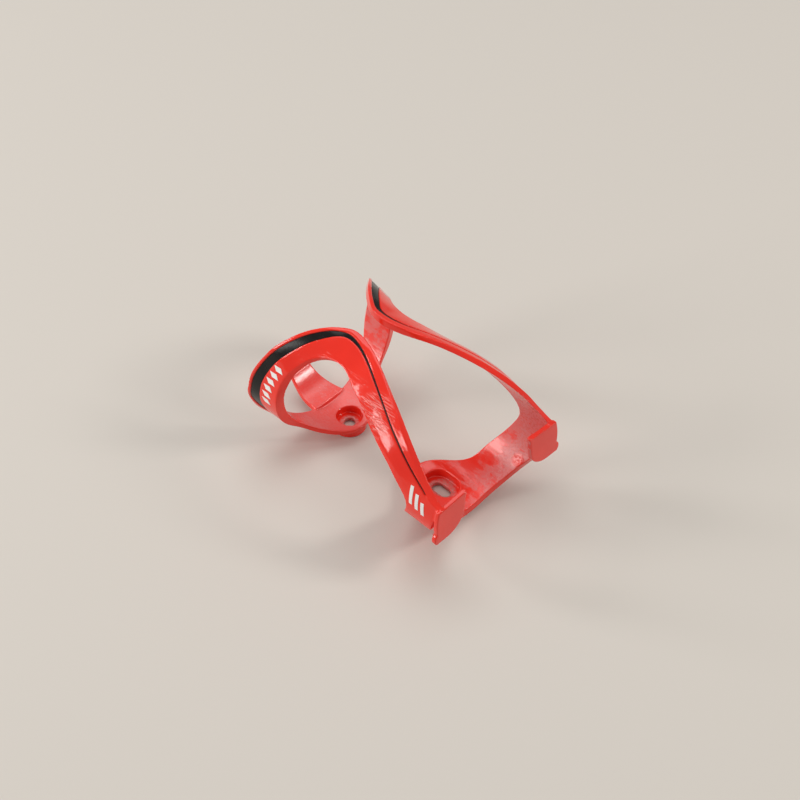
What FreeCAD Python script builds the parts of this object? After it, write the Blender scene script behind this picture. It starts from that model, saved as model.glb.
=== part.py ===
"""Water bottle cage: one moulded ribbon with trim strips and printed graphics.

Frame: X across the cage, Y along the bottle (bottle bottom at -Y), Z away from the bicycle tube.
The origin lies midway between the two mounting holes, on the plane of the boss faces (z = 0).
Most outlines are drawn on a cylinder round the bottle axis. A point of such an outline is
(angle, y): the angle is in degrees round the axis, 0 at the tube side, 90 at +X, 180 at the crown.
The outer and inner faces of the ribbon are smooth skins whose radius varies with angle and y.
"""
import FreeCAD, Part

import math
import os

from FreeCAD import Vector

DIMENSIONS = [
    ("axis_height", 44.0, "bottle axis above the mounting plane"),
    ("bottle_space_radius", 37.2, "inner face of the ribbon, clear of a 74 mm bottle"),
    ("shell_radius", 39.8, "outer face of the thin shell between the flanges"),
    ("flange_radius", 42.0, "outer face of the flanges round the cradle"),
    ("rim_radius", 41.3, "crest of the bead along the rear edge"),
    ("panel_radius", 40.3, "outer face of the wings beside the trim"),
    ("wing_radius", 38.7, "outer face of the wings beside the side opening"),
    ("arm_radius", 39.9, "outer face of the arms along their free edge"),
    ("tip_radius", 36.1, "inner face of the wing tips, which grip the bottle"),
    ("channel_depth", 1.5, "depth of the trim channel below the outer face"),
    ("trim_inset", 0.5, "outer face of the trim strips below the face round them"),
    ("hole_spacing", 64.0, "distance between the mounting holes"),
    ("bolt_hole_diameter", 5.5, "clearance for an M5 bolt"),
    ("slot_length", 10.5, "overall length of the lower slot"),
    ("seat_height", 2.4, "floor of the bolt recesses"),
    ("recess_diameter", 13.2, "round recess for the bolt head"),
    ("lower_recess_length", 19.5, "overall length of the lower recess"),
    ("lower_recess_width", 14.0, "lower recess across"),
    ("upper_boss_diameter", 17.4, "upper boss"),
    ("lower_boss_width", 19.0, "lower boss across"),
    ("lower_boss_length", 27.0, "lower boss along the slot"),
    ("stop_face_y", -69.2, "outer face of the bottle stops"),
    ("stop_thickness", 2.6, "thickness of the bottle stops"),
    ("graphic_thickness", 0.15, "thickness of the printed graphics"),
    ("boss_height", 14.0, "height of the boss blanks before the bottle space trims them"),
    ("arm_swell", 2.8, "rise of an arm's middle above its free edge, near the bottle stops"),
    ("arm_hollow", 1.3, "drop of an arm's middle below its free edge, near the wings"),
    ("rim_root_rise", 1.8, "extra radius of the rear bead at the root of a wing"),
    ("rim_tip_drop", 0.5, "radius that the rear bead loses towards a wing tip"),
    ("strip_bead_height", 2.4, "bead along the rear strip above the thin shell"),
]

# Right-hand half outlines as (angle, y) on the inner face, then (angle, y) on the outer face.
FREE_EDGE = [
    (97, -69.2), (105.4, -61.7, 102.7, -60.3), (116, -52.5, 114.1, -51.2),
    (126.8, -42.1, 125.6, -40.9), (138.2, -30.2, 137.7, -29.1), (148.8, -17.6, 148.9, -16.5),
    (159.7, -3.8, 160.3, -2.8), (166.6, 7.5, 167.1, 8.2), (169.1, 16.1, 169.6, 16.6),
    (167.4, 23.2, 167.6, 23.4), (160.7, 30.5, 160.6, 30.6), (150.7, 37.7, 150.8, 37.9),
    (138.7, 44, 138.6, 44.6), (123.3, 50.2, 122.9, 51.5), (111, 53.4, 110.3, 55.4),
    (98, 55.4, 98, 58.2), (85, 56.2, 87.1, 59.6), (72, 56, 72, 61.2), (60, 53.8, 60, 58.4),
    (48, 50.4, 48, 53), (36, 48.6, 36, 49.6), (20, 47.4, 20, 47.6), (0, 46.8),
]
OPEN_EDGE = [
    (0, 22.6), (10, 23.8), (20, 27.4), (32, 32.7, 32, 33), (45, 37.2, 45, 37.8),
    (58, 38.8, 58, 39.6), (76, 39.2, 76, 40.4), (94, 38.4, 92.3, 40.5), (112, 35.2, 109.2, 38.5),
    (125.4, 31.7, 123.6, 34.7), (137.2, 25.9, 136.6, 28), (143.1, 18.8, 142.9, 20.3),
    (143.3, 10.2, 143.1, 11.5), (137.2, 0.7, 136.5, 2.8), (130.4, -9.8, 129.2, -7.4),
    (120.6, -21.5, 119.7, -18.4), (111.4, -32.6, 111.5, -29.3), (102.4, -41.4, 103.3, -38.5),
    (94, -46.4, 95.3, -45.2), (85.5, -48, 87.3, -48.8), (76, -46.2, 76, -46.6),
    (66, -43.2, 66, -43.4), (54, -39.3, 54, -39.4), (42, -36), (32, -33.8), (24, -29.2),
    (15.6, -21.2), (8, -16.2), (0, -14.6),
]
CRADLE_FRONT = [
    (0, -52.2), (16, -52.4), (30, -54.2), (43, -57.2), (56, -61.6), (68, -67.4), (70.5, -69.2),
]

# Trim channel on the right-hand side, from its lower tip round the wing and back, as (angle, y).
CHANNEL_RIM_SIDE = [
    (98, -61.2), (104, -57.2), (111, -49.6), (120, -39.5), (129.5, -28.8), (139.7, -17.7),
    (150.8, -5), (158.9, 5.1), (164.2, 14.6), (164.7, 21.5), (158.7, 29.2), (148.6, 36.6),
    (136.3, 43.4), (119.9, 50.4), (105.9, 54.5), (93.8, 56.9), (83.7, 58.1), (72, 59),
    (64.5, 55.6), (63, 47),
]
CHANNEL_FACE_SIDE = [
    (63, 47), (69.5, 51.2), (77, 52.4), (85.1, 52.2), (93.3, 51.6), (106, 49.3), (118, 45.9),
    (130.3, 40.8), (144.1, 34.1), (154.9, 27.2), (161.1, 21.8), (161.9, 14.6), (157.7, 5.7),
    (149.7, -4.5), (138.7, -17.3), (128.5, -28.4), (119, -39), (110, -49.2), (103.2, -56.8),
    (98, -61.2),
]

# Bars of the printed graphics as (angle, y, half length, half width, lean).
WING_BARS = [(83 + 6.2 * step, 47.4 - 0.17 * step * step, 1.3, 2.0, 0.9) for step in range(6)]
ARM_BARS = [(97 - 3 * step, -51.5 - 3.7 * step, 5.0 - 0.8 * step, 0.9, 0.6) for step in range(3)]

SUB_PARTS = [
    "cage_body", "left_trim_strip", "right_trim_strip", "left_wing_graphic",
    "right_wing_graphic", "left_arm_graphic", "right_arm_graphic",
]

# The bottle stops as (x, z) and the tongue's side view as (y, z), and its plan as (y, half width).
STOP_INNER_TOP = (22.0, 50.2)
STOP_OUTLINE = [
    (STOP_INNER_TOP, (40.8, 48.6)), ((40.8, 48.6), (42.0, 42.0), (41.8, 33.4)),
    ((41.8, 33.4), (43.5, 30.0), (42.0, 26.8)), ((42.0, 26.8), (36.0, 27.0)),
    ((36.0, 27.0), (27.8, 29.6), (23.6, 35.6)), ((23.6, 35.6), STOP_INNER_TOP),
]
TONGUE_TOP = [(46, 9.0), (52, 8.2), (57.5, 8.8), (62.6, 11.4), (66.6, 15.2)]
TONGUE_UNDER = [(68.6, 13.6), (64.8, 9.2), (59.2, 5.8), (52, 4.9), (44, 4.9)]
TONGUE_PLAN = [(43, 10.2), (50, 9.3), (56, 8.5), (62, 7.3), (70, 6.1)]

# Where the outer face runs from one radius to another, as angles from the tube side.
STRIP_TO_WING = (44, 66)
CRADLE_TO_ARM = (44, 78)
FLANGE_TO_PANEL = (75, 110)
PANEL_TO_TUCK = (90, 125)
RIM_ROOT = (80, 112)
RIM_TIP = (150, 168)
STRIP_BEAD_RISE = (20, 44)

# The same along the bottle: y itself, then distances in from the rear edge or the free edge.
CRADLE_TO_STRIP_Y = (-10, 18)
ARM_TO_WING_Y = (12, 30)
ARM_SWELL_Y = (-40, 4)
RIM_WIDTH = (0, 7)
TUCK_RUN = (7, 18)
STRIP_BEAD_WIDTH = (1.2, 3.4)
ARM_SWELL_ANGLES = (0, 26)

# The wing tips grip the bottle: the inner face moves in over these angles and lengths.
GRIP_ANGLES = (112, 150)
GRIP_START_Y = (-12, 8)
GRIP_END_Y = (44, 26)

KNOTS_PER_EDGE = 2
FLANGE_WIDTH = 2.6
PANEL_END_ANGLE = 75.0
POCKET_RADIUS = 46.0
BLANK_RADIUS_IN = 35.0
SKIN_ANGLE = 172.5
SKIN_ANGLE_STEPS = 30
SKIN_START_Y = -78.0
SKIN_STEP_Y = 7.5
SKIN_STEPS_Y = 20
CRADLE_POCKET_END = -5.0
CORNER_POCKET_WIDTH = 3.0
CORNER_POCKET_ANGLE = 14.0
TONGUE_BLANK_WIDTH = 40.0
TONGUE_BLANK_HEIGHT = 30.0
TUBE_LENGTH = 200.0
THROUGH = "20"


doc = FreeCAD.newDocument("bottle_cage")
sheet = doc.addObject("Spreadsheet::Sheet", "dimensions")
for row, (alias, number, meaning) in enumerate(DIMENSIONS, start=1):
    sheet.set("A%d" % row, alias)
    sheet.set("B%d" % row, str(number))
    sheet.set("C%d" % row, meaning)
    sheet.setAlias("B%d" % row, alias)
doc.recompute()


def size(alias):
    return float(getattr(sheet, alias))


AXIS_HEIGHT = size("axis_height")
INNER = size("bottle_space_radius")
SHELL = size("shell_radius")
FLANGE = size("flange_radius")
CHANNEL_DEPTH = size("channel_depth")
TRIM_INSET = size("trim_inset")
GRAPHIC = size("graphic_thickness")
STOP_FACE_Y = size("stop_face_y")
STOP_THICKNESS = size("stop_thickness")


def on_cylinder(radius, angle, y):
    turn = math.radians(angle)
    return Vector(radius * math.sin(turn), y, AXIS_HEIGHT - radius * math.cos(turn))


def blend(value, start, end):
    """A smooth rise from 0 at start to 1 at end."""
    part = min(max((value - start) / (end - start), 0.0), 1.0)
    return part * part * (3 - 2 * part)


def mix(one, two, part):
    return one + (two - one) * part


def free_edge_angle(y):
    """About where the arm's free edge lies at this y."""
    return min(163 + 0.85 * y - 0.0015 * y * y, 169)


def rear_edge_y(turn):
    """About where the rear edge lies at this angle."""
    return 46.8 + 14.4 * blend(turn, 22, 72) - 0.0043 * max(turn - 75, 0) ** 2


def arm_face(turn, y):
    """Outer radius of an arm: its middle swells at the bottle stops and is hollow at the wings."""
    swell = mix(size("arm_swell"), -size("arm_hollow"), blend(y, *ARM_SWELL_Y))
    return size("arm_radius") + swell * blend(free_edge_angle(y) - turn, *ARM_SWELL_ANGLES)


def wing_face(turn, y):
    """Outer radius of a wing: a bead at the rear edge, then a panel that tucks in at the opening."""
    inside_rear = rear_edge_y(turn) - y
    panel = mix(FLANGE, size("panel_radius"), blend(turn, *FLANGE_TO_PANEL))
    tuck = blend(inside_rear, *TUCK_RUN) * blend(turn, *PANEL_TO_TUCK)
    face = mix(panel, size("wing_radius"), tuck)
    rim = size("rim_radius") + size("rim_root_rise") * (1 - blend(turn, *RIM_ROOT))
    rim -= size("rim_tip_drop") * blend(turn, *RIM_TIP)
    return mix(rim, face, blend(inside_rear, *RIM_WIDTH))


def low_face(turn, y):
    """Outer radius near the tube: flanges at the front, a thin strip with a bead at the rear."""
    inside_rear = rear_edge_y(turn) - y
    bead = size("strip_bead_height") * blend(turn, *STRIP_BEAD_RISE)
    strip = SHELL + bead * (1 - blend(inside_rear, *STRIP_BEAD_WIDTH))
    return mix(FLANGE, strip, blend(y, *CRADLE_TO_STRIP_Y))


def face_radius(angle, y):
    """Outer radius of the ribbon, run together from its four regions."""
    turn = abs(angle)
    to_rear = blend(y, *ARM_TO_WING_Y)
    side = mix(arm_face(turn, y), wing_face(turn, y), to_rear)
    start = mix(CRADLE_TO_ARM[0], STRIP_TO_WING[0], to_rear)
    end = mix(CRADLE_TO_ARM[1], STRIP_TO_WING[1], to_rear)
    return mix(low_face(turn, y), side, blend(turn, start, end))


def inner_radius(angle, y):
    """Inner radius of the ribbon: the bottle space, except where the wing tips grip the bottle."""
    grip = blend(abs(angle), *GRIP_ANGLES) * blend(y, *GRIP_START_Y) * blend(y, *GRIP_END_Y)
    return mix(INNER, size("tip_radius"), grip)


def chain_edges(chain, radius):
    """Smooth edges at this radius through a chain of points.

    A point is (angle, y), or (inner angle, inner y, outer angle, outer y) where the wall leans.
    The curve is one spline, cut into short edges so that the solid's volume is measured well.
    """
    knots = [0.0]
    flat = [(math.radians(p[0]) * INNER, p[1]) for p in chain]
    for one, two in zip(flat, flat[1:]):
        knots.append(knots[-1] + math.hypot(two[0] - one[0], two[1] - one[1]))
    points = []
    for p in chain:
        bottom = inner_radius(p[0], p[1])
        lean = (radius - bottom) / (face_radius(p[-2], p[-1]) - bottom)
        points.append(on_cylinder(radius, mix(p[0], p[-2], lean), mix(p[1], p[-1], lean)))
    curve = Part.BSplineCurve()
    curve.interpolate(Points=points, Parameters=knots)
    breaks = knots[:-1:KNOTS_PER_EDGE] + knots[-1:]
    return [curve.toShape(start, end) for start, end in zip(breaks, breaks[1:])]


def side_wall(chains, radius_in, radius_out):
    """The closed wall that cuts an outline through a tube, radial from one radius to another."""
    wires = []
    for radius in (radius_in, radius_out):
        edges = [edge for chain in chains for edge in chain_edges(chain, radius)]
        wires.append(Part.Wire(edges))
    return Part.makeLoft(wires, False, True)


def mirrored(chain):
    """The same chain on the left-hand side, run the other way."""
    return [tuple(-v if i % 2 == 0 else v for i, v in enumerate(p)) for p in reversed(chain)]


def tube(radius_in, radius_out):
    """A pipe round the bottle axis, its seam at the crown where the cage has its gap."""
    start = Vector(0, -TUBE_LENGTH / 2, AXIS_HEIGHT)
    along = Vector(0, 1, 0)
    outer = Part.makeCylinder(radius_out, TUBE_LENGTH, start, along)
    inner = Part.makeCylinder(radius_in, TUBE_LENGTH, start, along)
    for solid in (outer, inner):
        solid.rotate(start, along, SEAM_TURN)
    return outer.cut(inner)


def seam_turn():
    """The turn that brings a cylinder's seam to the crown."""
    probe = Part.makeCylinder(1, 1, Vector(0, 0, 0), Vector(0, 1, 0))
    seam = [e for e in probe.Edges if e.Closed is False][0]
    at = seam.valueAt(seam.FirstParameter)
    return math.degrees(math.atan2(at.x, -at.z)) - 180.0


SEAM_TURN = seam_turn()


def piece_at(shape, sheets, point):
    """The solid that some sheets cut out of a shape round a point."""
    parts, _ = shape.generalFuse(sheets)
    for solid in parts.Solids:
        if solid.isInside(point, 1e-4, False):
            return solid
    raise RuntimeError("no solid holds the point")


def patch(chains, radius_in, radius_out, angle, y):
    """The part of a tube inside an outline that holds the point (angle, y)."""
    wall = side_wall(chains, radius_in - 1, radius_out + 1)
    middle = (radius_in + radius_out) / 2
    return piece_at(tube(radius_in, radius_out), [wall], on_cylinder(middle, angle, y))


def skin(radius_at, step=0.0):
    """A smooth sheet round the bottle axis at radius_at(angle, y) plus a step."""
    grid = []
    for row in range(SKIN_ANGLE_STEPS + 1):
        angle = SKIN_ANGLE * (2 * row / SKIN_ANGLE_STEPS - 1)
        line = []
        for column in range(SKIN_STEPS_Y + 1):
            y = SKIN_START_Y + SKIN_STEP_Y * column
            line.append(on_cylinder(radius_at(angle, y) + step, angle, y))
        grid.append(line)
    sheet_surface = Part.BSplineSurface()
    sheet_surface.interpolate(grid)
    return sheet_surface.toShape()


def shifted(chain, step):
    """The outer side of a chain, moved along the bottle."""
    return [(p[-2], p[-1] + step) for p in chain]


def level_arc(y, half_angle):
    """A chain of points round the tube side at one y."""
    return [(half_angle * part, y) for part in (1, 0.5, 0, -0.5, -1)]


def make_ribbon():
    """The closed ribbon: cradle, arms, wings and rear strips, at its full thickness."""
    front = mirrored(CRADLE_FRONT)[:-1] + CRADLE_FRONT
    right_stop = [CRADLE_FRONT[-1], FREE_EDGE[0]]
    outline = [front, right_stop, FREE_EDGE[:-1] + mirrored(FREE_EDGE), mirrored(right_stop)]
    blank = patch(outline, BLANK_RADIUS_IN, POCKET_RADIUS, 85, -60)
    wall = side_wall([OPEN_EDGE[:-1] + mirrored(OPEN_EDGE)], BLANK_RADIUS_IN - 1, POCKET_RADIUS + 1)
    inside = on_cylinder((INNER + FLANGE) / 2, 85, -60)
    blank = piece_at(blank, [wall], inside)
    return piece_at(blank, [skin(face_radius), skin(inner_radius)], inside)


def make_cradle_pocket():
    """Thins the cradle from outside and leaves a flange along its front edge."""
    front = shifted(mirrored(CRADLE_FRONT[:-1])[:-1] + CRADLE_FRONT[:-1], FLANGE_WIDTH)
    inside_stop = STOP_FACE_Y + STOP_THICKNESS
    corner = (PANEL_END_ANGLE, inside_stop)
    right = [corner, (PANEL_END_ANGLE, CRADLE_POCKET_END)]
    run_in = [front[-1], corner]
    outline = [front, run_in, right, level_arc(CRADLE_POCKET_END, PANEL_END_ANGLE)]
    outline += [mirrored(right), mirrored(run_in)]
    return patch(outline, SHELL, POCKET_RADIUS, 0, -30)


def make_corner_pocket():
    """The small recess between an arm's panel and its bottle stop."""
    low = STOP_FACE_Y + STOP_THICKNESS
    high = low + CORNER_POCKET_WIDTH
    first = PANEL_END_ANGLE - 2
    last = PANEL_END_ANGLE + CORNER_POCKET_ANGLE
    outline = [[(first, low), (last, low)], [(last, low), (first, high)], [(first, high), (first, low)]]
    return patch(outline, SHELL, POCKET_RADIUS, first + 2, low + 0.5)


def skin_patch(chains, angle, y, step_in, step_out=None):
    """The part of an outline that lies between two steps off the ribbon's outer face."""
    blank = patch(chains, BLANK_RADIUS_IN, POCKET_RADIUS, angle, y)
    floor = skin(face_radius, step_in)
    sheets = [floor]
    rise = 0.1
    if step_out is not None:
        sheets.append(skin(face_radius, step_out))
        rise = (step_out - step_in) / 2
    ray = Part.makeLine(on_cylinder(BLANK_RADIUS_IN, angle, y), on_cylinder(POCKET_RADIUS, angle, y))
    touch = ray.distToShape(floor)[1][0][0]
    outward = on_cylinder(1, angle, y) - on_cylinder(0, angle, y)
    return piece_at(blank, sheets, touch + outward * rise)


def channel_patch(step_out=None):
    return skin_patch([CHANNEL_RIM_SIDE, CHANNEL_FACE_SIDE], 110, 50, -CHANNEL_DEPTH, step_out)


def mirror_x(shape):
    return shape.mirror(Vector(0, 0, 0), Vector(1, 0, 0))


def add_shape(name, shape):
    feature = doc.addObject("Part::Feature", name)
    feature.Shape = shape
    return feature


def add_cylinder(name, radius, height, x="0", y="0", z="0"):
    """A Part cylinder along Z whose sizes and place are expressions of the sheet."""
    cylinder = doc.addObject("Part::Cylinder", name)
    cylinder.setExpression("Radius", radius)
    cylinder.setExpression("Height", height)
    for axis, value in zip("xyz", (x, y, z)):
        cylinder.setExpression("Placement.Base." + axis, value)
    return cylinder


def add_fuse(name, members):
    fuse = doc.addObject("Part::MultiFuse", name)
    fuse.Shapes = members
    return fuse


def add_cut(name, base, tool):
    cut = doc.addObject("Part::Cut", name)
    cut.Base = base
    cut.Tool = tool
    return cut


def add_obround(name, length, width, height, z):
    """A slot-shaped prism along Y, centred on the lower mounting hole."""
    centre = "-dimensions.hole_spacing / 2"
    reach = "(%s - %s) / 2" % (length, width)
    radius = "%s / 2" % width
    near = add_cylinder(name + "_near_end", radius, height, "0", centre + " - " + reach, z)
    far = add_cylinder(name + "_far_end", radius, height, "0", centre + " + " + reach, z)
    middle = doc.addObject("Part::Box", name + "_middle")
    middle.setExpression("Length", width)
    middle.setExpression("Width", "%s - %s" % (length, width))
    middle.setExpression("Height", height)
    middle.setExpression("Placement.Base.x", "-" + radius)
    middle.setExpression("Placement.Base.y", centre + " - " + reach)
    middle.setExpression("Placement.Base.z", z)
    return add_fuse(name, [near, middle, far])


def add_bosses():
    """Both mounting bosses, trimmed to the bottle space."""
    upper = add_cylinder(
        "upper_boss", "dimensions.upper_boss_diameter / 2", "dimensions.boss_height",
        y="dimensions.hole_spacing / 2",
    )
    lower = add_obround(
        "lower_boss", "dimensions.lower_boss_length", "dimensions.lower_boss_width",
        "dimensions.boss_height", "0",
    )
    bottle = doc.addObject("Part::Cylinder", "bottle_space")
    bottle.setExpression("Radius", "dimensions.bottle_space_radius")
    bottle.Height = TUBE_LENGTH
    bottle.Placement = FreeCAD.Placement(
        Vector(0, TUBE_LENGTH / 2, AXIS_HEIGHT), FreeCAD.Rotation(Vector(1, 0, 0), 90)
    )
    return add_cut("bosses", add_fuse("boss_blanks", [upper, lower]), bottle)


def add_holes():
    """Both bolt recesses with the round hole and the slot under them."""
    seat = "dimensions.seat_height"
    upper_y = "dimensions.hole_spacing / 2"
    members = [
        add_cylinder("upper_recess", "dimensions.recess_diameter / 2", THROUGH, "0", upper_y, seat),
        add_cylinder("upper_hole", "dimensions.bolt_hole_diameter / 2", THROUGH, "0", upper_y, "-1"),
        add_obround(
            "lower_recess", "dimensions.lower_recess_length", "dimensions.lower_recess_width",
            THROUGH, seat,
        ),
        add_obround(
            "lower_slot", "dimensions.slot_length", "dimensions.bolt_hole_diameter", THROUGH, "-1"
        ),
    ]
    return add_fuse("bolt_openings", members)


def add_stops():
    """The end walls that carry the bottle's bottom, one at each front corner."""
    outline = []
    for points in STOP_OUTLINE:
        corners = [Vector(x, STOP_FACE_Y, z) for x, z in points]
        edge = Part.makeLine(*corners) if len(corners) == 2 else Part.Arc(*corners).toShape()
        outline.append(edge)
    plate = Part.Face(Part.Wire(outline)).extrude(Vector(0, STOP_THICKNESS, 0))
    return [add_shape("right_stop", plate), add_shape("left_stop", mirror_x(plate))]


def add_tongue():
    """The locating tongue: a plate that leaves the upper pad and curls up towards the bottle."""
    curves = []
    for row in (TONGUE_TOP, TONGUE_UNDER):
        curve = Part.BSplineCurve()
        curve.interpolate([Vector(0, y, z) for y, z in row])
        curves.append(curve.toShape())
    ends = [TONGUE_TOP[-1], TONGUE_UNDER[0], TONGUE_UNDER[-1], TONGUE_TOP[0]]
    corners = [Vector(0, y, z) for y, z in ends]
    tip = Part.makeLine(corners[0], corners[1])
    step = Part.makeLine(corners[2], corners[3])
    side = Part.Face(Part.Wire([curves[0], tip, curves[1], step]))
    side.translate(Vector(-TONGUE_BLANK_WIDTH / 2, 0, 0))
    profile = side.extrude(Vector(TONGUE_BLANK_WIDTH, 0, 0))
    right = Part.BSplineCurve()
    right.interpolate([Vector(x, y, 0) for y, x in TONGUE_PLAN])
    left = Part.BSplineCurve()
    left.interpolate([Vector(-x, y, 0) for y, x in reversed(TONGUE_PLAN)])
    start_y, start_x = TONGUE_PLAN[0]
    end_y, end_x = TONGUE_PLAN[-1]
    far = Part.makeLine(Vector(end_x, end_y, 0), Vector(-end_x, end_y, 0))
    near = Part.makeLine(Vector(-start_x, start_y, 0), Vector(start_x, start_y, 0))
    loop = [right.toShape(), far, left.toShape(), near]
    plan = Part.Face(Part.Wire(loop)).extrude(Vector(0, 0, TONGUE_BLANK_HEIGHT))
    return add_shape("tongue", profile.common(plan))


def dash(angle, y, half_length, half_width, lean):
    """A small slanted bar of print on the outer face."""
    turn = math.degrees(1 / face_radius(angle, y))
    reach = half_length * turn
    corners = [
        (angle - reach, y - half_width - lean), (angle + reach, y - half_width + lean),
        (angle + reach, y + half_width + lean), (angle - reach, y + half_width - lean),
    ]
    chains = [[one, two] for one, two in zip(corners, corners[1:] + corners[:1])]
    return skin_patch(chains, angle, y, 0.0, GRAPHIC)


def add_graphic(name, bars):
    shape = Part.makeCompound([dash(*bar) for bar in bars])
    add_shape("right_" + name, shape)
    add_shape("left_" + name, mirror_x(shape))


ribbon = make_ribbon()
corner_pocket = make_corner_pocket()
channel = channel_patch()
pockets = [make_cradle_pocket(), corner_pocket, mirror_x(corner_pocket), channel, mirror_x(channel)]
for pocket in pockets:
    ribbon = ribbon.cut(pocket)

body_members = [add_shape("ribbon", ribbon), add_bosses(), add_tongue()] + add_stops()
body_blank = add_fuse("body_blank", body_members)
cage_body = add_cut("cage_body", body_blank, add_holes())
cage_body.Refine = True

strip = channel_patch(-TRIM_INSET)
add_shape("right_trim_strip", strip)
add_shape("left_trim_strip", mirror_x(strip))
add_graphic("wing_graphic", WING_BARS)
add_graphic("arm_graphic", ARM_BARS)

doc.recompute()

for thing in doc.Objects:
    if "Invalid" in thing.State or "Error" in thing.State:
        raise RuntimeError("%s failed to build" % thing.Name)

os.makedirs("parts", exist_ok=True)
for name in SUB_PARTS:
    thing = doc.getObject(name)
    thing.Label = name
    if thing.Shape.isNull() or not thing.Shape.isValid():
        raise RuntimeError("%s has no valid shape" % name)
    thing.Shape.exportStep("parts/%s.step" % name)
    print(name, len(thing.Shape.Solids), "solid(s)", round(thing.Shape.Volume, 1), "mm3")
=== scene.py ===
"""Water bottle cage in glossy red plastic with dark trim strips, on a pale floor."""

import math

import bpy
import numpy as np
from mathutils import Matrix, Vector


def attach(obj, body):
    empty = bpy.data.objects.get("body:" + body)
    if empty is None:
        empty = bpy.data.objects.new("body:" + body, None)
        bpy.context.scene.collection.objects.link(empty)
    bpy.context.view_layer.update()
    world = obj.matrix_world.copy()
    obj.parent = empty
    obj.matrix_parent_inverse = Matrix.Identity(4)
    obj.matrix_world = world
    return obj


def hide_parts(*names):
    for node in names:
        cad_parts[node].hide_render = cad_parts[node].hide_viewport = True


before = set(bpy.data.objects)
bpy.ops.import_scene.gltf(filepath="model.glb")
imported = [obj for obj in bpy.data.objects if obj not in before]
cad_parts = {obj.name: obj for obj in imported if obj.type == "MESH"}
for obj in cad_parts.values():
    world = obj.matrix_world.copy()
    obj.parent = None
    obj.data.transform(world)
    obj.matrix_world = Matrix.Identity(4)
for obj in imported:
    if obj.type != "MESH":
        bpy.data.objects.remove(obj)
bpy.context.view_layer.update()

MM = 0.001
AXIS_HEIGHT = 0.044  # the bottle's axis above the origin, in metres

# Edge of the even faces in metres, rounds of softening, and share of the faces kept.
BODY_MESH = (0.00022, 34, 0.27)
STRIP_MESH = (0.00018, 5, 0.5)
SOFTENING = 0.5

# How hard the bottle rubs, as (place in mm, strength): along y, and across x.
RUB_ALONG = ([-69, -52, -43, -34, 20, 50, 66], [0.9, 1.0, 0.6, 0.45, 0.65, 0.75, 0.7])
RUB_ACROSS = ([-40, -6, 6, 20, 40], [0.6, 0.5, 0.9, 1.0, 1.0])
# Over these y the strength across becomes even, by this share.
EVEN_RISE = ([0, 20], [0, 1])
EVEN_SHARE = 0.7
# Points farther than this from the bottle's axis stay clean, with a short fade, in metres.
RUB_RADIUS = 0.0392
RUB_FADE = 0.0012

# Marked spots of the body: centre, radius and soft edge, in metres.
UPPER_PAD = ((0.0, 0.042, 0.004), 0.026, 0.012)
TONGUE = ((0.0, 0.061, 0.007), 0.014, 0.006)
DENTED_CORNER = ((0.0285, -0.0560, 0.0201), 0.0020, 0.0025)
SCUFFED_ARM = ((-0.0310, -0.0165, 0.0690), 0.008, 0.005)
SLOT_FLOOR = ((0.0, -0.032, 0.0024), 0.0058, 0.0022)
HOLE_FLOOR = ((0.0, 0.032, 0.0024), 0.0036, 0.0018)

# Colours in linear red, green and blue.
DEEP_RED, LIGHT_RED = (0.76, 0.018, 0.007), (0.86, 0.025, 0.010)
HAZE_PINK = (0.64, 0.25, 0.245)
SCRATCH_PINK = (0.85, 0.40, 0.36)
WORN_GREY = (0.36, 0.25, 0.23)
BLACK, DUSTY_BLACK = (0.005, 0.004, 0.004), (0.030, 0.025, 0.021)
PRINT_WHITE, WORN_PRINT = (0.86, 0.85, 0.83), (0.70, 0.36, 0.33)
FLOOR_COLOUR = (0.61, 0.57, 0.52)
DAYLIGHT = (1.0, 0.98, 0.95)
PLAIN_WHITE = (1, 1, 1)

SKY_STRENGTH = 0.41
FLOOR_REACH = 12.0
FLOOR_DROP = 0.0002

# Name, place, aim, size, watts and colour of each light.
LIGHTS = [
    ("window", (-1.36, 0.79, 0.62), (-0.03, -0.017, 0.07), (0.56, 0.56), 8, DAYLIGHT),
    ("ceiling", (0.25, 0.45, 1.5), (0, 0, 0.03), (1.1, 1.1), 8, PLAIN_WHITE),
    ("side_window", (0.77, -1.02, 0.97), (0, 0, 0.03), (0.34, 0.34), 8, DAYLIGHT),
    ("rear_window", (-0.74, 1.30, 0.66), (-0.02, 0.04, 0.07), (0.30, 0.70), 8, PLAIN_WHITE),
]

# Lens and sensor in mm, direction in degrees, and the rest in metres.
CAMERA_LENS = 135
CAMERA_SENSOR = 36
CAMERA_TURN, CAMERA_RISE = -45.636, 47.709
CAMERA_TARGET = (0.029797, 0.025693, 0.0)
CAMERA_DISTANCE = 1.519335
CAMERA_CLIP = 0.01


# ---------------------------------------------------------------- mesh work

def copy_of(node, name):
    """A new object with a copy of a CAD node's mesh."""
    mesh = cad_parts[node].data.copy()
    mesh.materials.clear()
    made = bpy.data.objects.new(name, mesh)
    bpy.context.scene.collection.objects.link(made)
    return made


def apply_modifiers(obj):
    graph = bpy.context.evaluated_depsgraph_get()
    mesh = bpy.data.meshes.new_from_object(obj.evaluated_get(graph))
    obj.modifiers.clear()
    obj.data = mesh


def remeshed(node, name, voxel, rounds, kept):
    """A copy of a CAD node with even small faces and its corners softly rounded, as moulded."""
    obj = copy_of(node, name)
    remesh = obj.modifiers.new("even_faces", "REMESH")
    remesh.mode = "VOXEL"
    remesh.voxel_size = voxel
    remesh.use_smooth_shade = True
    apply_modifiers(obj)
    smooth = obj.modifiers.new("soft_corners", "SMOOTH")
    smooth.factor = SOFTENING
    smooth.iterations = rounds
    thin = obj.modifiers.new("fewer_faces", "DECIMATE")
    thin.ratio = kept
    apply_modifiers(obj)
    obj.data.polygons.foreach_set("use_smooth", [True] * len(obj.data.polygons))
    return obj


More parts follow.
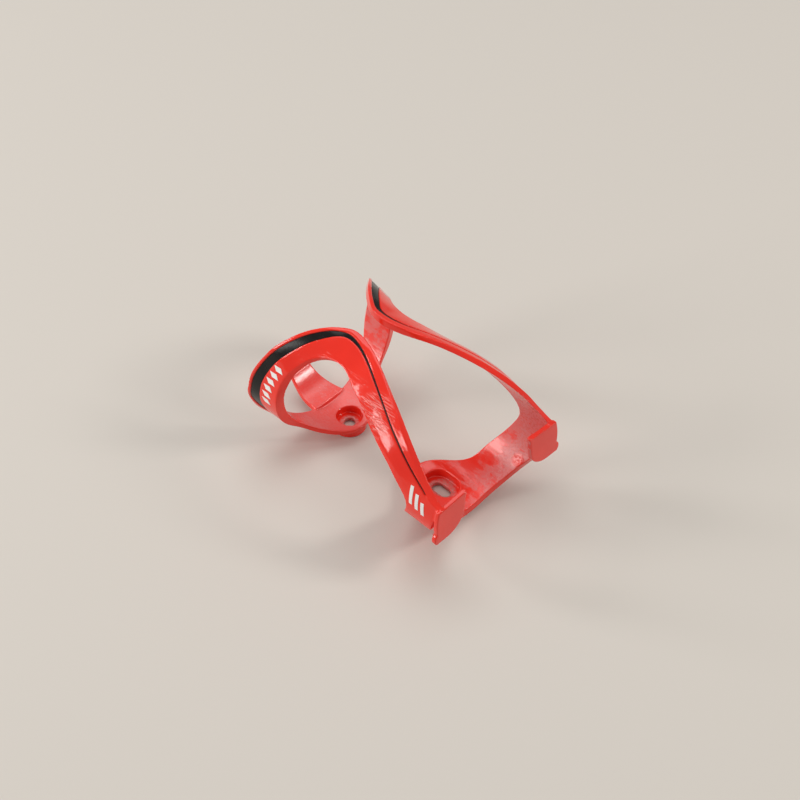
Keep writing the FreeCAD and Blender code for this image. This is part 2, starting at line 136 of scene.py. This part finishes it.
def vertex_rows(vectors, field, count):
    """The three numbers of each vertex, one row for each."""
    numbers = np.empty(count * 3, np.float32)
    vectors.foreach_get(field, numbers)
    return numbers.reshape(-1, 3)


def mark_rubbed(obj):
    """Stores how hard the bottle rubs each point: most on faces that look at its axis."""
    mesh = obj.data
    count = len(mesh.vertices)
    spots = vertex_rows(mesh.vertices, "co", count).astype(float)
    normals = vertex_rows(mesh.vertex_normals, "vector", count)
    out = np.stack([spots[:, 0], np.zeros(count), spots[:, 2] - AXIS_HEIGHT], axis=1)
    radius = np.linalg.norm(out, axis=1)
    facing = np.clip(-(out * normals).sum(axis=1) / radius, 0, 1) ** 2
    near = np.clip((RUB_RADIUS - radius) / RUB_FADE, 0, 1)
    x_mm, y_mm = spots[:, 0] / MM, spots[:, 1] / MM
    along = np.interp(y_mm, *RUB_ALONG)
    across = np.interp(x_mm, *RUB_ACROSS)
    across += EVEN_SHARE * (1 - across) * np.interp(y_mm, *EVEN_RISE)
    rubbed = facing * near * along * across
    layer = mesh.attributes.new("rubbed", "FLOAT", "POINT")
    layer.data.foreach_set("value", rubbed.astype(np.float32))


def dress(obj, node, material):
    """Puts a finished piece in place of its CAD node."""
    obj.data.materials.clear()
    obj.data.materials.append(material)
    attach(obj, "root")
    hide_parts(node)


# ---------------------------------------------------------------- materials

class Nodes:
    """A short way to build a node material."""

    def __init__(self, name):
        self.material = bpy.data.materials.new(name)
        self.material.use_nodes = True
        self.tree = self.material.node_tree
        self.tree.nodes.clear()
        self.out = self.add("ShaderNodeOutputMaterial")

    def add(self, kind, **settings):
        """A new node; a setting is an input's value where an input has its name."""
        node = self.tree.nodes.new(kind)
        for key, value in settings.items():
            if key in node.inputs:
                node.inputs[key].default_value = value
            else:
                setattr(node, key, value)
        return node

    def link(self, source, target):
        self.tree.links.new(source, target)


def position(mat):
    """Object coordinates in metres, which are the row frame's own."""
    return mat.add("ShaderNodeTexCoord").outputs["Object"]


def noise_at(mat, vector, scale, detail=3.0, rough=0.5, distortion=0.0, turn=0.0, stretch=None):
    """Noise between 0 and 1; scale in turns per metre, stretched along a turned y axis."""
    if stretch is not None:
        mapping = mat.add(
            "ShaderNodeMapping", Rotation=(0.0, 0.0, turn), Scale=(1.0, stretch, 1.0)
        )
        mat.link(vector, mapping.inputs["Vector"])
        vector = mapping.outputs[0]
    node = mat.add(
        "ShaderNodeTexNoise", Scale=scale, Detail=detail, Roughness=rough, Distortion=distortion
    )
    mat.link(vector, node.inputs["Vector"])
    return node.outputs["Fac"]


def remap(mat, value, low, high, to_low=0.0, to_high=1.0):
    """A smooth step of a value from one range to another."""
    node = mat.add("ShaderNodeMapRange")
    node.interpolation_type = "SMOOTHSTEP"
    ends = {"From Min": low, "From Max": high, "To Min": to_low, "To Max": to_high}
    for socket, number in ends.items():
        node.inputs[socket].default_value = number
    mat.link(value, node.inputs["Value"])
    return node.outputs["Result"]


def maths(mat, kind, one, two=None):
    node = mat.add("ShaderNodeMath", operation=kind)
    for socket, value in zip(node.inputs, (one, two)):
        if value is None:
            continue
        if isinstance(value, (int, float)):
            socket.default_value = value
        else:
            mat.link(value, socket)
    return node.outputs[0]


def times(mat, one, two):
    return maths(mat, "MULTIPLY", one, two)


def plus(mat, one, two):
    return maths(mat, "ADD", one, two)


def minus(mat, one, two):
    return maths(mat, "SUBTRACT", one, two)


def mixed(mat, factor, one, two):
    """A colour between one and two."""
    node = mat.add("ShaderNodeMix", data_type="RGBA")
    for socket, value in zip((node.inputs[0], node.inputs[6], node.inputs[7]), (factor, one, two)):
        if isinstance(value, tuple):
            socket.default_value = value + (1.0,)
        else:
            mat.link(value, socket)
    return node.outputs[2]


def ball(mat, place, centre, radius, soft):
    """1 near a point of the row frame, falling to 0 over a soft edge."""
    node = mat.add("ShaderNodeVectorMath", operation="DISTANCE")
    mat.link(place, node.inputs[0])
    node.inputs[1].default_value = centre
    return remap(mat, node.outputs["Value"], radius + soft, radius)


def bump(mat, height, distance, strength, under=None, invert=False):
    """The normal of a bumpy surface, on top of another bump's normal."""
    node = mat.add("ShaderNodeBump", invert=invert, Distance=distance, Strength=strength)
    mat.link(height, node.inputs["Height"])
    if under is not None:
        mat.link(under, node.inputs["Normal"])
    return node.outputs[0]


def scratch_marks(mat, place, turn):
    """Fine straight scratches that run one way: 1 in a scratch, 0 elsewhere."""
    lines = noise_at(mat, place, 420, detail=2, distortion=0.15, turn=turn, stretch=0.08)
    return remap(mat, maths(mat, "ABSOLUTE", minus(mat, lines, 0.5)), 0.022, 0.004)


def bottle_haze(mat, place, cloud, fine, dented):
    """The dusty haze the bottle has rubbed: patchy, but even on the upper pad."""
    streaks = noise_at(mat, place, 420, detail=5, rough=0.65, stretch=0.25)
    rubbed = mat.add("ShaderNodeAttribute", attribute_name="rubbed").outputs["Fac"]
    mottled = plus(mat, cloud, times(mat, streaks, 0.6))
    reach = minus(mat, mottled, times(mat, rubbed, 0.45))
    patches = remap(mat, minus(mat, 1.0, reach), 0.44, 0.58, 0.15, 1.0)
    even = times(mat, ball(mat, place, *UPPER_PAD), 0.75)
    haze = times(mat, rubbed, maths(mat, "MAXIMUM", patches, even))
    haze = times(mat, haze, remap(mat, fine, 0.35, 0.7, 0.7, 1.0))
    return times(mat, haze, minus(mat, 1.0, dented))


def red_plastic():
    mat = Nodes("red_plastic")
    place = position(mat)
    cloud = noise_at(mat, place, 110, detail=8, rough=0.70, distortion=0.3)
    fine = noise_at(mat, place, 900, detail=4, rough=0.6)
    tone = noise_at(mat, place, 30)
    dented = ball(mat, place, *DENTED_CORNER)
    haze = bottle_haze(mat, place, cloud, fine, dented)

    # Scuffs across the left arm, where hands and the bottle have dragged on it.
    cuts = maths(mat, "MAXIMUM", scratch_marks(mat, place, 0.5), scratch_marks(mat, place, -0.9))
    scratches = times(mat, cuts, ball(mat, place, *SCUFFED_ARM))
    hairlines = times(mat, scratch_marks(mat, place, 1.9), remap(mat, tone, 0.45, 0.6))

    # Bolt heads have worn the floor of both recesses to a grey edge.
    worn = maths(mat, "MAXIMUM", ball(mat, place, *SLOT_FLOOR), ball(mat, place, *HOLE_FLOOR))
    worn = times(mat, worn, remap(mat, fine, 0.35, 0.6, 0.3, 1.0))

    colour = mixed(mat, remap(mat, tone, 0.3, 0.7), DEEP_RED, LIGHT_RED)
    colour = mixed(mat, times(mat, haze, 0.8), colour, HAZE_PINK)
    colour = mixed(mat, times(mat, scratches, 0.35), colour, SCRATCH_PINK)
    colour = mixed(mat, times(mat, worn, 0.6), colour, WORN_GREY)

    dull = times(mat, ball(mat, place, *TONGUE), 0.05)
    rough = plus(mat, remap(mat, cloud, 0.3, 0.7, 0.06, 0.12), times(mat, haze, 0.24))
    rough = plus(mat, rough, times(mat, worn, 0.35))
    rough = plus(mat, rough, times(mat, scratches, 0.35))
    rough = plus(mat, rough, dull)
    coat_rough = plus(mat, times(mat, scratches, 0.4), times(mat, haze, 0.25))
    coat_rough = plus(mat, coat_rough, dull)

    # Mould flow, a dented corner that breaks up the light, and the cuts of the scratches.
    normal = bump(mat, noise_at(mat, place, 160, detail=2), 0.00010, 0.30)
    dents = times(mat, noise_at(mat, place, 620, detail=2), dented)
    normal = bump(mat, dents, 0.0004, 0.8, under=normal)
    depth = plus(mat, scratches, times(mat, hairlines, 0.12))
    depth = plus(mat, depth, times(mat, haze, fine))
    normal = bump(mat, depth, 0.00012, 1.0, under=normal, invert=True)

    settings = {
        "IOR": 1.47,
        "Subsurface Weight": 0.05,
        "Subsurface Radius": (0.0012, 0.0003, 0.0002),
        "Coat Weight": 0.16,
    }
    shader = mat.add("ShaderNodeBsdfPrincipled", **settings)
    mat.link(colour, shader.inputs["Base Color"])
    mat.link(rough, shader.inputs["Roughness"])
    mat.link(coat_rough, shader.inputs["Coat Roughness"])
    mat.link(normal, shader.inputs["Normal"])
    mat.link(normal, shader.inputs["Coat Normal"])
    mat.link(shader.outputs[0], mat.out.inputs["Surface"])
    return mat.material


def black_rubber():
    mat = Nodes("black_elastomer")
    place = position(mat)
    cloud = noise_at(mat, place, 140, detail=5, rough=0.6)
    dust = noise_at(mat, place, 1600, rough=0.6)
    dusty = times(mat, remap(mat, cloud, 0.42, 0.68), remap(mat, dust, 0.45, 0.62))
    shader = mat.add("ShaderNodeBsdfPrincipled", IOR=1.33)
    colour = mixed(mat, times(mat, dusty, 0.30), BLACK, DUSTY_BLACK)
    mat.link(colour, shader.inputs["Base Color"])
    mat.link(remap(mat, cloud, 0.3, 0.7, 0.20, 0.30), shader.inputs["Roughness"])
    mat.link(bump(mat, dust, 0.00005, 0.5), shader.inputs["Normal"])
    mat.link(shader.outputs[0], mat.out.inputs["Surface"])
    return mat.material


def white_print():
    mat = Nodes("white_print")
    place = position(mat)
    wear = remap(mat, noise_at(mat, place, 700, detail=5, rough=0.65), 0.60, 0.72)
    gloss = remap(mat, noise_at(mat, place, 300, detail=2), 0.3, 0.7, 0.22, 0.34)
    shader = mat.add("ShaderNodeBsdfPrincipled")
    colour = mixed(mat, times(mat, wear, 0.45), PRINT_WHITE, WORN_PRINT)
    mat.link(colour, shader.inputs["Base Color"])
    mat.link(gloss, shader.inputs["Roughness"])
    mat.link(bump(mat, wear, 0.00003, 0.4), shader.inputs["Normal"])
    mat.link(shader.outputs[0], mat.out.inputs["Surface"])
    return mat.material


# ---------------------------------------------------------------- pieces

body = remeshed("cage_body", "moulded_body", *BODY_MESH)
mark_rubbed(body)
dress(body, "cage_body", red_plastic())

rubber = black_rubber()
printed = white_print()
for hand in ("left", "right"):
    strip = remeshed(hand + "_trim_strip", hand + "_strip", *STRIP_MESH)
    dress(strip, hand + "_trim_strip", rubber)
    for spot in ("wing", "arm"):
        node = "%s_%s_graphic" % (hand, spot)
        mark = copy_of(node, "%s_%s_print" % (hand, spot))
        dress(mark, node, printed)


# ---------------------------------------------------------------- floor, light, camera

def area_light(name, place, aim, size, watts, colour):
    lamp = bpy.data.lights.new(name, "AREA")
    lamp.shape = "RECTANGLE"
    lamp.size, lamp.size_y = size
    lamp.energy = watts
    lamp.color = colour
    holder = bpy.data.objects.new(name, lamp)
    holder.location = place
    holder.rotation_euler = (Vector(aim) - Vector(place)).to_track_quat("-Z", "Y").to_euler()
    bpy.context.scene.collection.objects.link(holder)


floor_mesh = bpy.data.meshes.new("floor")
corners = [(-1, -1), (1, -1), (1, 1), (-1, 1)]
floor_mesh.from_pydata(
    [(x * FLOOR_REACH, y * FLOOR_REACH, 0) for x, y in corners], [], [(0, 1, 2, 3)]
)
floor = bpy.data.objects.new("floor", floor_mesh)
floor.location.z = -FLOOR_DROP
bpy.context.scene.collection.objects.link(floor)
pale = Nodes("pale_floor")
paper = pale.add(
    "ShaderNodeBsdfPrincipled", **{"Base Color": FLOOR_COLOUR + (1,), "Roughness": 0.6}
)
pale.link(paper.outputs[0], pale.out.inputs["Surface"])
floor_mesh.materials.append(pale.material)

world = bpy.data.worlds.new("studio")
world.use_nodes = True
sky = world.node_tree.nodes["Background"]
sky.inputs["Color"].default_value = DAYLIGHT + (1,)
sky.inputs["Strength"].default_value = SKY_STRENGTH
bpy.context.scene.world = world
for light in LIGHTS:
    area_light(*light)

camera_data = bpy.data.cameras.new("camera")
camera_data.lens = CAMERA_LENS
camera_data.sensor_width = CAMERA_SENSOR
camera_data.clip_start = CAMERA_CLIP
camera = bpy.data.objects.new("camera", camera_data)
turn, rise = math.radians(CAMERA_TURN), math.radians(CAMERA_RISE)
back = Vector(
    (math.sin(turn) * math.cos(rise), -math.cos(turn) * math.cos(rise), math.sin(rise))
)
camera.location = Vector(CAMERA_TARGET) + back * CAMERA_DISTANCE
camera.rotation_euler = back.to_track_quat("Z", "Y").to_euler()
bpy.context.scene.collection.objects.link(camera)
bpy.context.scene.camera = camera
bpy.context.scene.view_settings.view_transform = "Standard"
